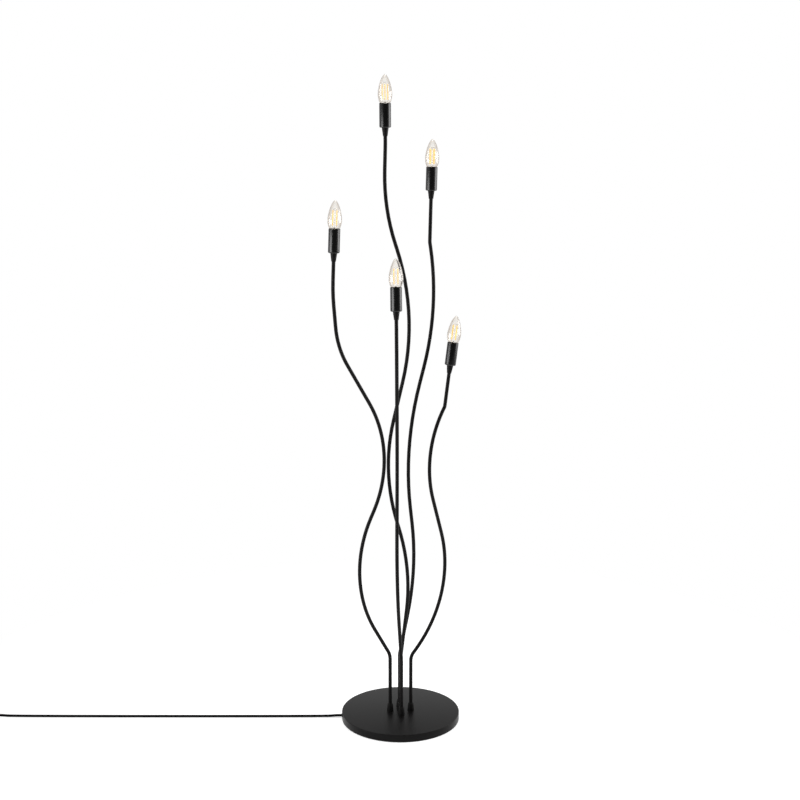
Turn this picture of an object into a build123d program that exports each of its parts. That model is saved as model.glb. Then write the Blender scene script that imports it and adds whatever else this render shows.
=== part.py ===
from build123d import *
import math
import os

os.makedirs("parts", exist_ok=True)

# Tree floor lamp: five bent tubes on a round base, each with a candle bulb in a black holder.
# Millimetres. The origin is the centre of the base's underside, +Z up, +X to the right and
# -Y towards the viewer.

# ---- Driving dimensions ----------------------------------------------------------------

fit_gap = 0.05          # radial clearance of fixed pieces in their seats
slide_gap = 0.3         # radial clearance round what is lifted out or pressed

# base
base_diameter = 300.0
base_height = 20.0
cover_wall = 1.5
cover_edge_radius = 0.8
cover_floor_gap = 0.6   # the skirt stays clear of the floor
pad_thickness = 1.5
pad_inset = 8.0         # pad's edge in from the base's edge
sheet_thickness = 1.0   # bottom plate
ballast_thickness = 9.0
ballast_inset = 2.5     # ballast's edge in from the skirt's inner wall
pocket_radius = 58.0    # wiring space under the stems
web_thickness = 4.0     # ballast left above the wiring space
bottom_screw_circle = 120.0
bottom_screw_radius = 2.0
bottom_screw_head_radius = 4.5
bottom_screw_head_height = 1.3
bottom_screw_length = 12.0
boss_radius = 8.0

# stems
stem_diameter = 9.0
stem_wall = 1.0
stem_ring_radius = 26.5
stem_ring_turn = 5.0    # degrees, the ring of four is turned a little
ferrule_height = 20.0
ferrule_bottom_diameter = 17.0
ferrule_top_diameter = 13.0
washer_radius = 8.0
washer_thickness = 1.0
nut_across_flats = 13.0
nut_height = 4.0
lead_diameter = 3.2

# lamp holders
sleeve_diameter = 28.0
sleeve_length = 57.0
sleeve_wall = 1.2
sleeve_floor = 1.5
sleeve_edge_radius = 3.0
cone_height = 20.0
cone_top_diameter = 16.5
cone_bottom_diameter = 11.0
nipple_radius = 5.0
nipple_bore_radius = 3.2
nipple_below = 8.0      # part of the nipple in the cone
nipple_above = 4.5      # part of the nipple in the insert
insert_height = 48.5
insert_floor = 22.5     # solid part under the socket's cavity
wire_chamber_radius = 3.5
wire_chamber_height = 8.0
shell_length = 21.0
shell_wall = 0.4

# bulbs, with the small screw cap of candle lamps
bulb_seat = 25.5        # cap's contact above the sleeve's underside
bulb_travel = 35.0
bulb_length = 98.5
bulb_diameter = 35.0
glass_wall = 0.8
cap_thread_radius = 6.9
cap_thread_depth = 0.5
cap_thread_pitch = 2.8
cap_thread_turns = 5
cap_thread_start = 4.0
cap_collar_radius = 8.5
cap_length = 26.0
cap_wall = 0.4
filament_radius = 0.9
filament_circle = 6.7
support_wire_radius = 0.4

# mains cord
cord_diameter = 6.5
cord_exit_height = 5.8
cord_clamp_height = 10.6
clamp_x = -82.0
clamp_width = 10.0
clamp_span = 24.0
clamp_thickness = 1.5
clamp_screw_radius = 1.5
clamp_screw_head_radius = 3.0
clamp_screw_spacing = 16.0
clamp_screw_length = 8.0
bush_wall = 1.3
bush_flange = 0.6
bush_flange_thickness = 1.0
channel_gap = 0.5       # round the cord in the ballast
block_length = 28.0
block_width = 16.0
block_height = 8.5
block_x = -45.0
block_screw_radius = 1.6
block_screw_depth = 5.0

# foot switch on the cord
switch_x = -1085.0
switch_length = 80.0
switch_width = 42.0
switch_base_height = 6.5
switch_cover_height = 14.5
switch_wall = 2.0
switch_edge_radius = 5.0
button_radius = 13.0
button_flange = 1.6
button_height = 9.0
button_proud = 4.5
button_travel = 3.0
button_wall = 1.6
mechanism_length = 30.0
mechanism_width = 20.0
mechanism_height = 8.0
spring_radius = 6.0
spring_wire_radius = 0.4
spring_turns = 4
switch_screw_radius = 1.4
switch_screw_head_radius = 2.6
switch_screw_spacing = 56.0
switch_screw_length = 9.0

# coil of spare cord and the plug
coil_x = -1205.0
coil_outer_radius = 43.0   # of the outermost half turn
coil_pitch = 7.0           # between turns beside each other
coil_layer_height = 7.0
coil_half_turns = 4        # in each layer
plug_gap = 45.0            # cord between the coil and the plug's strain relief
plug_width = 35.3
plug_thickness = 13.7
plug_body_length = 34.0
plug_tail_width = 15.0
plug_tail_thickness = 11.0
plug_relief_length = 24.0
plug_relief_end_radius = 4.4
plug_relief_start_radius = 5.2
pin_radius = 2.0
pin_length = 19.0
pin_spacing = 18.0
pin_embedded = 8.0

# ---- Heights and radii worked out from them --------------------------------------------

base_radius = base_diameter / 2
skirt_inner_radius = base_radius - cover_wall
cover_underside = base_height - cover_wall
plate_bottom = pad_thickness
plate_top = plate_bottom + sheet_thickness
ballast_bottom = cover_underside - ballast_thickness
web_bottom = cover_underside - web_thickness
ballast_radius = skirt_inner_radius - ballast_inset
stem_radius = stem_diameter / 2
stem_bore_radius = stem_radius - stem_wall
washer_bottom = web_bottom - washer_thickness
nut_bottom = washer_bottom - nut_height
stem_bottom = nut_bottom - 0.5
lead_radius = lead_diameter / 2
block_bottom = web_bottom - block_height
lead_run_height = block_bottom + lead_radius + 0.1
lead_bend_radius = lead_radius * 2.1
cord_radius = cord_diameter / 2
clamp_top = cord_clamp_height - cord_radius - fit_gap
clamp_bottom = clamp_top - clamp_thickness
sleeve_radius = sleeve_diameter / 2
sleeve_bore_radius = sleeve_radius - sleeve_wall
insert_radius = sleeve_bore_radius - 2 * fit_gap
shell_bore_radius = cap_thread_radius + slide_gap
shell_radius = shell_bore_radius + shell_wall
insert_bore_radius = shell_radius + fit_gap
insert_mouth_radius = cap_collar_radius + slide_gap + 0.2
insert_bottom = sleeve_floor
insert_cavity = insert_bottom + insert_floor
insert_top = insert_bottom + insert_height
bush_radius = cord_radius + fit_gap + bush_wall
bush_flange_radius = bush_radius + bush_flange
bush_outer_x = -base_radius - bush_flange_thickness
bush_inner_face_x = -math.sqrt(skirt_inner_radius**2 - bush_flange_radius**2)
bush_inner_x = bush_inner_face_x + bush_flange_thickness

# ---- Where the stems stand and how they are bent ---------------------------------------


def ring_foot(degrees):
    angle = math.radians(degrees + stem_ring_turn)
    return stem_ring_radius * math.cos(angle), stem_ring_radius * math.sin(angle)


stem_feet = {
    "centre": (0.0, 0.0),
    "right": ring_foot(0),
    "rear": ring_foot(90),
    "left": ring_foot(180),
    "front": ring_foot(270),
}

# Each tube is straight from the base up to its first bend. A bend is the point where the
# straight stretches on each side of it would cross, its height first, and the radius of the
# tube's centre line round it. The last point is the underside of the lamp holder.
stem_first_bend = {
    "centre": (157, 300),
    "right": (166, 28),
    "rear": (162, 30),
    "left": (172, 45),
    "front": (167, 40),
}
stem_bends = {
    "centre": [
        ((28, -5.5, 404), 520),
        ((-48, 9.5, 648), 500),
        ((43.5, -8.5, 1045), 600),
        ((-40, 8, 1301), 510),
        ((-36, 7, 1452), 510),
    ],
    "right": [
        ((144.5, 78, 309), 305),
        ((52.5, 19, 694), 290),
        ((110.5, 56, 805.5), 16),
    ],
    "rear": [
        ((42.5, 57.5, 383), 650),
        ((7.5, 33.5, 708), 730),
        ((96.5, 95.5, 1050), 620),
        ((72, 78.5, 1214), 30),
    ],
    "left": [
        ((-138.5, -56, 390), 317),
        ((-5.5, 8, 697), 293),
        ((-151, -62, 974), 226),
        ((-161, -67, 1106), 475),
    ],
    "front": [
        ((-9, -124, 392), 330),
        ((-8, -34, 692), 330),
        ((-9, -116, 967), 330),
    ],
}
holder_seats = {
    "centre": Vector(-36.2, 7, 1491.5),
    "right": Vector(123.5, 64.5, 909),
    "rear": Vector(75, 80.5, 1339),
    "left": Vector(-157.5, -65, 1201.8),
    "front": Vector(-10, -108, 1068.8),
}


def holder_plane(name):
    # stands on the holder's underside, square to the tube that carries it
    last_bend = Vector(*stem_bends[name][-1][0])
    return Plane(origin=holder_seats[name], z_dir=holder_seats[name] - last_bend)


def stem_corners(name):
    foot_x, foot_y = stem_feet[name]
    first_height = stem_first_bend[name][0]
    return [Vector(foot_x, foot_y, first_height)] + [Vector(*point) for point, _ in stem_bends[name]]


def stem_radii(name):
    return [stem_first_bend[name][1]] + [radius for _, radius in stem_bends[name]]


holder_planes = {name: holder_plane(name) for name in stem_feet}
foot_points = list(stem_feet.values())
bottom_screw_points = PolarLocations(bottom_screw_circle, 4, start_angle=45)

# ---- Base ------------------------------------------------------------------------------

# pressed steel cover, with a hole for each stem and a notch at the left for the cord
with BuildPart() as base_cover:
    with BuildSketch(Plane.XY.offset(cover_floor_gap)):
        Circle(base_radius)
    extrude(amount=base_height - cover_floor_gap)
    fillet(base_cover.edges().group_by(Axis.Z)[-1], cover_edge_radius)
    with BuildSketch(Plane.XY.offset(cover_floor_gap)):
        Circle(skirt_inner_radius)
    extrude(amount=cover_underside - cover_floor_gap, mode=Mode.SUBTRACT)
    with BuildSketch(Plane.XY.offset(cover_underside)):
        with Locations(*foot_points):
            Circle(stem_radius + fit_gap)
    extrude(amount=cover_wall, mode=Mode.SUBTRACT)
    with BuildSketch(Plane.YZ.offset(-base_radius)) as notch:
        with Locations((0, cord_exit_height)):
            Circle(bush_radius + fit_gap)
        with Locations((0, cord_exit_height / 2)):
            Rectangle(2 * (bush_radius + fit_gap), cord_exit_height)
    extrude(amount=2 * cover_wall, mode=Mode.SUBTRACT)
base_cover.part.label = "base_cover"
export_step(base_cover.part, "parts/base_cover.step")

# cast iron weight against the cover's top, hollow under the stems, slotted for the cord
with BuildPart() as ballast_plate:
    with BuildSketch(Plane.XY.offset(ballast_bottom)):
        Circle(ballast_radius)
    extrude(amount=ballast_thickness)
    with BuildSketch(Plane.XY.offset(plate_top)):
        with bottom_screw_points:
            Circle(boss_radius)
    extrude(amount=ballast_bottom - plate_top)
    with BuildSketch(Plane.XY.offset(clamp_top)):
        with Locations((clamp_x, 0)):
            with GridLocations(0, clamp_screw_spacing, 1, 2):
                Rectangle(clamp_width, clamp_span - clamp_screw_spacing)
    extrude(amount=ballast_bottom - clamp_top)
    with BuildSketch(Plane.XY.offset(ballast_bottom)):
        Circle(pocket_radius)
    extrude(amount=ballast_thickness - web_thickness, mode=Mode.SUBTRACT)
    with BuildSketch(Plane.XY.offset(web_bottom)):
        with Locations(*foot_points):
            Circle(stem_radius + fit_gap)
    extrude(amount=web_thickness, mode=Mode.SUBTRACT)
    with BuildSketch(Plane.YZ.offset(-base_radius)) as channel:
        with Locations((0, cord_clamp_height)):
            Circle(cord_radius + channel_gap)
        with Locations((0, cord_clamp_height / 2)):
            Rectangle(2 * (cord_radius + channel_gap), cord_clamp_height)
    extrude(amount=base_radius - pocket_radius / 2, mode=Mode.SUBTRACT)
    with BuildSketch(Plane.XY.offset(plate_top)):
        with bottom_screw_points:
            Circle(bottom_screw_radius + fit_gap)
    extrude(amount=bottom_screw_length - sheet_thickness + 0.5, mode=Mode.SUBTRACT)
    with BuildSketch(Plane.XY):
        with Locations((clamp_x, 0)):
            with GridLocations(0, clamp_screw_spacing, 1, 2):
                Circle(clamp_screw_radius + fit_gap)
    extrude(amount=clamp_bottom + clamp_screw_length + 0.5, mode=Mode.SUBTRACT)
ballast_plate.part.label = "ballast_plate"
export_step(ballast_plate.part, "parts/ballast_plate.step")

# sheet that closes the base, notched round the cord's bush
plate_notch_reach = base_radius + bush_inner_x + fit_gap
with BuildPart() as bottom_plate:
    with BuildSketch(Plane.XY.offset(plate_bottom)):
        Circle(skirt_inner_radius - 2 * fit_gap)
        with bottom_screw_points:
            Circle(bottom_screw_radius + fit_gap, mode=Mode.SUBTRACT)
        with Locations((-base_radius, 0)):
            Rectangle(2 * plate_notch_reach, 2 * (bush_flange_radius + fit_gap), mode=Mode.SUBTRACT)
    extrude(amount=sheet_thickness)
bottom_plate.part.label = "bottom_plate"
export_step(bottom_plate.part, "parts/bottom_plate.step")

# soft pad under the plate, open over the screw heads
with BuildPart() as base_pad:
    with BuildSketch():
        Circle(base_radius - pad_inset)
        with bottom_screw_points:
            Circle(bottom_screw_head_radius + 1, mode=Mode.SUBTRACT)
    extrude(amount=pad_thickness)
base_pad.part.label = "base_pad"
export_step(base_pad.part, "parts/base_pad.step")

# four flat-headed screws from the plate into the ballast's bosses
with BuildPart() as bottom_screws:
    with BuildSketch(Plane.XY.offset(plate_bottom - bottom_screw_head_height)):
        with bottom_screw_points:
            Circle(bottom_screw_head_radius)
    extrude(amount=bottom_screw_head_height)
    with BuildSketch(Plane.XY.offset(plate_bottom)):
        with bottom_screw_points:
            Circle(bottom_screw_radius)
    extrude(amount=bottom_screw_length)
bottom_screws.part.label = "bottom_screws"
export_step(bottom_screws.part, "parts/bottom_screws.step")

# a washer and a nut clamp each stem to the ballast and the cover
with BuildPart() as stem_washers:
    with BuildSketch(Plane.XY.offset(washer_bottom)):
        with Locations(*foot_points):
            Circle(washer_radius)
            Circle(stem_radius + fit_gap, mode=Mode.SUBTRACT)
    extrude(amount=washer_thickness)
stem_washers.part.label = "stem_washers"
export_step(stem_washers.part, "parts/stem_washers.step")

with BuildPart() as stem_nuts:
    with BuildSketch(Plane.XY.offset(nut_bottom)):
        with Locations(*foot_points):
            RegularPolygon(nut_across_flats / 2, 6, major_radius=False)
            Circle(stem_radius + fit_gap, mode=Mode.SUBTRACT)
    extrude(amount=nut_height)
stem_nuts.part.label = "stem_nuts"
export_step(stem_nuts.part, "parts/stem_nuts.step")

# turned cones that stand on the cover round each stem
with BuildPart() as ferrule:
    with BuildSketch(Plane.XY.offset(base_height)):
        Circle(ferrule_bottom_diameter / 2)
    with BuildSketch(Plane.XY.offset(base_height + ferrule_height)):
        Circle(ferrule_top_diameter / 2)
    loft()
    fillet(ferrule.edges().group_by(Axis.Z)[-1], stem_wall)
    with BuildSketch(Plane.XY.offset(base_height)):
        Circle(stem_radius + fit_gap)
    extrude(amount=ferrule_height, mode=Mode.SUBTRACT)
with BuildPart() as stem_ferrules:
    with Locations(*foot_points):
        add(ferrule.part)
stem_ferrules.part.label = "stem_ferrules"
export_step(stem_ferrules.part, "parts/stem_ferrules.step")

# ---- Stems and the leads inside them ---------------------------------------------------

lead_targets = dict(zip(("front", "left", "centre", "right", "rear"), (-10.0, -4.5, 1.5, 7.0, 12.0)))
lead_start_x = block_x + block_width / 2 - 1    # just inside the terminal block
lead_parts = []
for name, (foot_x, foot_y) in stem_feet.items():
    seat = holder_planes[name]
    with BuildPart() as stem:
        with BuildLine():
            stem_path = FilletPolyline(
                (foot_x, foot_y, stem_bottom),
                *stem_corners(name),
                seat.origin - seat.z_dir * nipple_below,
                radius=stem_radii(name),
            )
        with BuildSketch(Plane(origin=stem_path @ 0, z_dir=stem_path % 0)):
            Circle(stem_radius)
            Circle(stem_bore_radius, mode=Mode.SUBTRACT)
        sweep(path=stem_path)
    stem.part.label = f"stem_{name}"
    export_step(stem.part, f"parts/stem_{name}.step")
    tube_area = math.pi * (stem_radius**2 - stem_bore_radius**2)
    print("stem", name, "length", round(stem_path.length, 1), "volume over section times length",
          round(stem.part.volume / (tube_area * stem_path.length), 5))

    # the lead leaves the terminal block, turns up under the foot and ends in the holder
    with BuildPart() as lead:
        with BuildLine():
            lead_path = FilletPolyline(
                (lead_start_x, lead_targets[name], lead_run_height),
                (foot_x, foot_y, lead_run_height),
                *stem_corners(name),
                seat.origin + seat.z_dir * (insert_bottom + nipple_above + wire_chamber_height),
                radius=[lead_bend_radius] + stem_radii(name),
            )
        with BuildSketch(Plane(origin=lead_path @ 0, z_dir=lead_path % 0)):
            Circle(lead_radius)
        sweep(path=lead_path)
    lead_parts.append(lead.part)

with BuildPart() as stem_leads:
    add(lead_parts)
stem_leads.part.label = "stem_leads"
export_step(stem_leads.part, "parts/stem_leads.step")

# ---- Lamp holders ----------------------------------------------------------------------

# Each piece is made once about Z, with the sleeve's underside at zero, and set on its stem.

with BuildPart() as sleeve:
    with BuildSketch():
        Circle(sleeve_radius)
    extrude(amount=sleeve_length)
    fillet(sleeve.edges().group_by(Axis.Z)[0], sleeve_edge_radius)
    with BuildSketch(Plane.XY.offset(sleeve_floor)):
        Circle(sleeve_bore_radius)
    extrude(amount=sleeve_length - sleeve_floor, mode=Mode.SUBTRACT)
    fillet(sleeve.edges().group_by(Axis.Z)[-1], sleeve_wall / 4)
    fillet(sleeve.edges().filter_by(lambda e: abs(e.center().Z - sleeve_floor) < 0.01), sleeve_wall)
    with BuildSketch():
        Circle(nipple_radius + fit_gap)
    extrude(amount=sleeve_floor, mode=Mode.SUBTRACT)

with BuildPart() as cone:
    with BuildSketch(Plane.XY.offset(-cone_height)):
        Circle(cone_bottom_diameter / 2)
    with BuildSketch():
        Circle(cone_top_diameter / 2)
    loft()
    with BuildSketch(Plane.XY.offset(-cone_height)):
        Circle(stem_radius + fit_gap)
    extrude(amount=cone_height - nipple_below, mode=Mode.SUBTRACT)
    with BuildSketch(Plane.XY.offset(-nipple_below)):
        Circle(nipple_radius + fit_gap)
    extrude(amount=nipple_below, mode=Mode.SUBTRACT)

with BuildPart() as nipple:
    with BuildSketch(Plane.XY.offset(-nipple_below)):
        Circle(nipple_radius)
        Circle(nipple_bore_radius, mode=Mode.SUBTRACT)
    extrude(amount=nipple_below + insert_bottom + nipple_above)

# moulded insert: threaded for the nipple, a wire chamber, and the cavity for the bulb's cap
with BuildPart() as insert:
    with BuildSketch(Plane.XY.offset(insert_bottom)):
        Circle(insert_radius)
    extrude(amount=insert_height)
    fillet(insert.edges().group_by(Axis.Z)[0], sleeve_wall * 1.2)
    with BuildSketch(Plane.XY.offset(insert_bottom)):
        Circle(nipple_radius + fit_gap)
    extrude(amount=nipple_above, mode=Mode.SUBTRACT)
    with BuildSketch(Plane.XY.offset(insert_bottom + nipple_above)):
        Circle(wire_chamber_radius)
    extrude(amount=wire_chamber_height, mode=Mode.SUBTRACT)
    with BuildSketch(Plane.XY.offset(insert_cavity)):
        Circle(insert_bore_radius)
    extrude(amount=insert_top - insert_cavity, mode=Mode.SUBTRACT)
    with BuildSketch(Plane.XY.offset(insert_cavity + shell_length)):
        Circle(insert_mouth_radius)
    extrude(amount=insert_top - insert_cavity - shell_length, mode=Mode.SUBTRACT)

with BuildPart() as shell:
    with BuildSketch(Plane.XY.offset(insert_cavity)):
        Circle(shell_radius)
        Circle(shell_bore_radius, mode=Mode.SUBTRACT)
    extrude(amount=shell_length)

# centre contact: a leaf on the cavity's floor with a domed end under the cap's contact
tongue_rise = bulb_seat - insert_cavity - fit_gap
with BuildPart() as tongue:
    with BuildSketch(Plane.XY.offset(insert_cavity)):
        Rectangle(shell_bore_radius * 1.4, 4)
    extrude(amount=0.5)
    with BuildSketch(Plane.XY.offset(insert_cavity + 0.5)):
        Circle(1.8)
    extrude(amount=tongue_rise - 0.5)
    fillet(tongue.edges().group_by(Axis.Z)[-1], 0.8)

seat_locations = [plane.location for plane in holder_planes.values()]
for name, plane in holder_planes.items():
    with BuildPart() as socket_sleeve:
        with Locations(plane.location):
            add(sleeve.part)
    socket_sleeve.part.label = f"socket_sleeve_{name}"
    export_step(socket_sleeve.part, f"parts/socket_sleeve_{name}.step")

with BuildPart() as socket_cones:
    with Locations(*seat_locations):
        add(cone.part)
socket_cones.part.label = "socket_cones"
export_step(socket_cones.part, "parts/socket_cones.step")

with BuildPart() as hollow_nipples:
    with Locations(*seat_locations):
        add(nipple.part)
hollow_nipples.part.label = "hollow_nipples"
export_step(hollow_nipples.part, "parts/hollow_nipples.step")

with BuildPart() as socket_inserts:
    with Locations(*seat_locations):
        add(insert.part)
socket_inserts.part.label = "socket_inserts"
export_step(socket_inserts.part, "parts/socket_inserts.step")

with BuildPart() as thread_shells:
    with Locations(*seat_locations):
        add(shell.part)
thread_shells.part.label = "thread_shells"
export_step(thread_shells.part, "parts/thread_shells.step")

with BuildPart() as contact_tongues:
    with Locations(*seat_locations):
        add(tongue.part)
contact_tongues.part.label = "contact_tongues"
export_step(contact_tongues.part, "parts/contact_tongues.step")

# ---- Bulbs -----------------------------------------------------------------------------

# Each piece is made once about Z, with the cap's contact at zero.

cap_thread_top = cap_thread_start + cap_thread_pitch * cap_thread_turns
cap_core_radius = cap_thread_radius - cap_thread_depth
collar_start = cap_thread_top + 1.5
collar_full = collar_start + 2.5

with BuildPart() as cap:
    with BuildSketch(Plane.XZ):
        with BuildLine():
            Polyline((0, 0), (2.4, 0), (2.8, 0.8), (5.6, cap_thread_start - 0.6))
            Polyline((5.6, cap_thread_start - 0.6), (cap_core_radius, cap_thread_start))
            for turn in range(cap_thread_turns):
                low = cap_thread_start + turn * cap_thread_pitch
                ThreePointArc(
                    (cap_core_radius, low),
                    (cap_thread_radius, low + cap_thread_pitch / 2),
                    (cap_core_radius, low + cap_thread_pitch),
                )
            Polyline(
                (cap_core_radius, cap_thread_top),
                (cap_core_radius, collar_start),
                (cap_collar_radius, collar_full),
                (cap_collar_radius, cap_length),
                (cap_collar_radius - cap_wall, cap_length),
                (cap_collar_radius - cap_wall, collar_full),
                (cap_core_radius - cap_wall, collar_start),
                (cap_core_radius - cap_wall, cap_thread_start),
                (0, cap_thread_start),
                (0, 0),
            )
        make_face()
    revolve(axis=Axis.Z)

neck_radius = cap_collar_radius - cap_wall - fit_gap
neck_bottom = collar_full + 0.3
glass_belly_height = cap_length + 0.325 * (bulb_length - cap_length)
shoulder = glass_belly_height - cap_length

# Half of the candle shape turned about Z, then the same drawn in by the wall and taken away.
with BuildPart() as glass:
    for inset, mode in ((0, Mode.ADD), (glass_wall, Mode.SUBTRACT)):
        belly = bulb_diameter / 2 - inset
        neck = neck_radius - inset
        tip = bulb_length - inset
        taper = tip - glass_belly_height
        with BuildSketch(Plane.XZ):
            with BuildLine():
                straight = Line((neck, neck_bottom), (neck, cap_length))
                lower = Spline(
                    straight @ 1,
                    (belly * 0.715, cap_length + shoulder * 0.24),
                    (belly * 0.915, cap_length + shoulder * 0.62),
                    (belly, glass_belly_height),
                    tangents=[(0.3, 1), (0, 1)],
                )
                Spline(
                    lower @ 1,
                    (belly * 0.926, glass_belly_height + taper * 0.306),
                    (belly * 0.74, glass_belly_height + taper * 0.592),
                    (belly * 0.511, glass_belly_height + taper * 0.786),
                    (belly * 0.366, glass_belly_height + taper * 0.886),
                    (belly * 0.18, glass_belly_height + taper * 0.973),
                    (0, tip),
                    tangents=[(0, 1), (-1, 0)],
                )
                Polyline((0, tip), (0, neck_bottom), straight @ 0)
            make_face()
        revolve(axis=Axis.Z, mode=mode)

# glass post from the cap, wires from its top to four upright filaments, and a wire ring above
filament_low = bulb_length * 0.396
filament_high = bulb_length * 0.761
filament_length = filament_high - filament_low
post_radius = 1.6
with BuildPart() as filament:
    with BuildSketch(Plane.XY.offset(cap_thread_start)):
        Circle(post_radius * 2)
    extrude(amount=cap_length - cap_thread_start)
    with BuildSketch(Plane.XY.offset(cap_length)):
        Circle(post_radius)
    extrude(amount=filament_low - cap_length)
    with BuildSketch(Plane.XY.offset(filament_low)):
        Circle(support_wire_radius)
    extrude(amount=filament_length)
    with BuildSketch(Plane.XY.offset(filament_low)):
        with PolarLocations(filament_circle, 4, start_angle=20):
            Circle(filament_radius)
    extrude(amount=filament_length)
    for height in (filament_low + support_wire_radius, filament_high - support_wire_radius):
        with BuildSketch(Plane.XY.offset(height - support_wire_radius)):
            with PolarLocations(filament_circle / 2, 4, start_angle=20):
                Rectangle(filament_circle, 2 * support_wire_radius)
        extrude(amount=2 * support_wire_radius)

for name, plane in holder_planes.items():
    bulb_location = plane.offset(bulb_seat).location
    for piece_name, piece in (("cap", cap), ("glass", glass), ("filament", filament)):
        with BuildPart() as bulb_piece:
            with Locations(bulb_location):
                add(piece.part)
        bulb_piece.part.label = f"bulb_{piece_name}_{name}"
        export_step(bulb_piece.part, f"parts/bulb_{piece_name}_{name}.step")

# ---- Mains connection inside the base --------------------------------------------------

# terminal block against the ballast's web, with a screw for each wire
block_screw_points = [(block_x + side * block_width / 4, step * block_length / 6)
                      for side in (-1, 1) for step in (-2, 0, 2)]
with BuildPart() as terminal_block:
    with BuildSketch(Plane.XY.offset(block_bottom)):
        with Locations((block_x, 0)):
            Rectangle(block_width, block_length)
        with Locations(*block_screw_points):
            Circle(block_screw_radius + fit_gap, mode=Mode.SUBTRACT)
    extrude(amount=block_screw_depth)
    with BuildSketch(Plane.XY.offset(block_bottom + block_screw_depth)):
        with Locations((block_x, 0)):
            Rectangle(block_width, block_length)
    extrude(amount=block_height - block_screw_depth)
terminal_block.part.label = "terminal_block"
export_step(terminal_block.part, "parts/terminal_block.step")

with BuildPart() as terminal_screws:
    with BuildSketch(Plane.XY.offset(block_bottom + 1)):
        with Locations(*block_screw_points):
            Circle(block_screw_radius)
    extrude(amount=block_screw_depth - 1)
terminal_screws.part.label = "terminal_screws"
export_step(terminal_screws.part, "parts/terminal_screws.step")

# rubber bush in the skirt's notch: a flange outside, one inside and the body between them
with BuildPart() as cord_bush:
    for start, thickness, radius in (
        (bush_outer_x, bush_flange_thickness, bush_flange_radius),
        (-base_radius, base_radius + bush_inner_face_x, bush_radius),
        (bush_inner_face_x, bush_flange_thickness, bush_flange_radius),
    ):
        with BuildSketch(Plane.YZ.offset(start)):
            with Locations((0, cord_exit_height)):
                Circle(radius)
        extrude(amount=thickness)
    with BuildSketch(Plane.YZ.offset(bush_outer_x)):
        with Locations((0, cord_exit_height)):
            Circle(cord_radius + fit_gap)
    extrude(amount=bush_inner_x - bush_outer_x, mode=Mode.SUBTRACT)
cord_bush.part.label = "cord_bush"
export_step(cord_bush.part, "parts/cord_bush.step")

# saddle under the cord, held by two countersunk screws
with BuildPart() as cord_clamp:
    with BuildSketch(Plane.XY.offset(clamp_bottom)):
        with Locations((clamp_x, 0)):
            Rectangle(clamp_width, clamp_span)
            with GridLocations(0, clamp_screw_spacing, 1, 2):
                Circle(clamp_screw_radius + fit_gap, mode=Mode.SUBTRACT)
    extrude(amount=clamp_thickness)
    for side in (-1, 1):
        with BuildSketch(Plane.XY.offset(clamp_bottom)):
            with Locations((clamp_x, side * clamp_screw_spacing / 2)):
                Circle(clamp_screw_head_radius + fit_gap)
        with BuildSketch(Plane.XY.offset(clamp_top)):
            with Locations((clamp_x, side * clamp_screw_spacing / 2)):
                Circle(clamp_screw_radius + fit_gap)
        loft(mode=Mode.SUBTRACT)
cord_clamp.part.label = "cord_clamp"
export_step(cord_clamp.part, "parts/cord_clamp.step")

with BuildPart() as clamp_screws:
    for side in (-1, 1):
        with BuildSketch(Plane.XY.offset(clamp_bottom)):
            with Locations((clamp_x, side * clamp_screw_spacing / 2)):
                Circle(clamp_screw_head_radius)
        with BuildSketch(Plane.XY.offset(clamp_top)):
            with Locations((clamp_x, side * clamp_screw_spacing / 2)):
                Circle(clamp_screw_radius)
        loft()
    with BuildSketch(Plane.XY.offset(clamp_top)):
        with Locations((clamp_x, 0)):
            with GridLocations(0, clamp_screw_spacing, 1, 2):
                Circle(clamp_screw_radius)
    extrude(amount=clamp_screw_length - clamp_thickness)
clamp_screws.part.label = "clamp_screws"
export_step(clamp_screws.part, "parts/clamp_screws.step")

# ---- Mains cord ------------------------------------------------------------------------


def run_radii(points, share=0.45):
    # as large an arc at each point as the shorter of its two runs allows
    radii = []
    for before, point, after in zip(points, points[1:], points[2:]):
        turn = (point - before).get_angle(after - point)
        shorter = min((point - before).length, (after - point).length)
        radii.append(share * shorter / math.tan(math.radians(turn) / 2))
    return radii


def cord_tube(name, points):
    radii = run_radii(points)
    with BuildPart() as tube:
        with BuildLine():
            path = FilletPolyline(*points, radius=radii)
        with BuildSketch(Plane(origin=path @ 0, z_dir=path % 0)):
            Circle(cord_radius)
        sweep(path=path)
    tube.part.label = name
    export_step(tube.part, f"parts/{name}.step")
    print(name, "length", round(path.length, 1), "radii", [round(radius) for radius in radii],
          "volume over section times length",
          round(tube.part.volume / (math.pi * cord_radius**2 * path.length), 5))


switch_left = switch_x - switch_length / 2
switch_right = switch_x + switch_length / 2
switch_cord_height = switch_base_height
switch_cord_inside = (switch_length - mechanism_length) / 2 - switch_wall   # up to the contact block
block_left_x = block_x - block_width / 2

mains_tail_points = [
    Vector(bush_outer_x, 0, cord_exit_height),
    Vector(bush_outer_x + 14, 0, cord_exit_height),
    Vector(bush_outer_x + 40, 0, cord_clamp_height),
    Vector(block_left_x, 0, cord_clamp_height),
]
cord_tube("mains_tail", mains_tail_points)

# along the floor from the base to the foot switch, pulled straight
cord_run_points = [
    Vector(bush_outer_x, 0, cord_exit_height),
    Vector(bush_outer_x - 16, 0, cord_exit_height),
    Vector(bush_outer_x - 40, 0, cord_radius),
    Vector(switch_right + 44, 0, cord_radius),
    Vector(switch_right + 18, 0, switch_cord_height),
    Vector(switch_right - switch_wall - switch_cord_inside, 0, switch_cord_height),
]
cord_tube("cord_run", cord_run_points)

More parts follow.
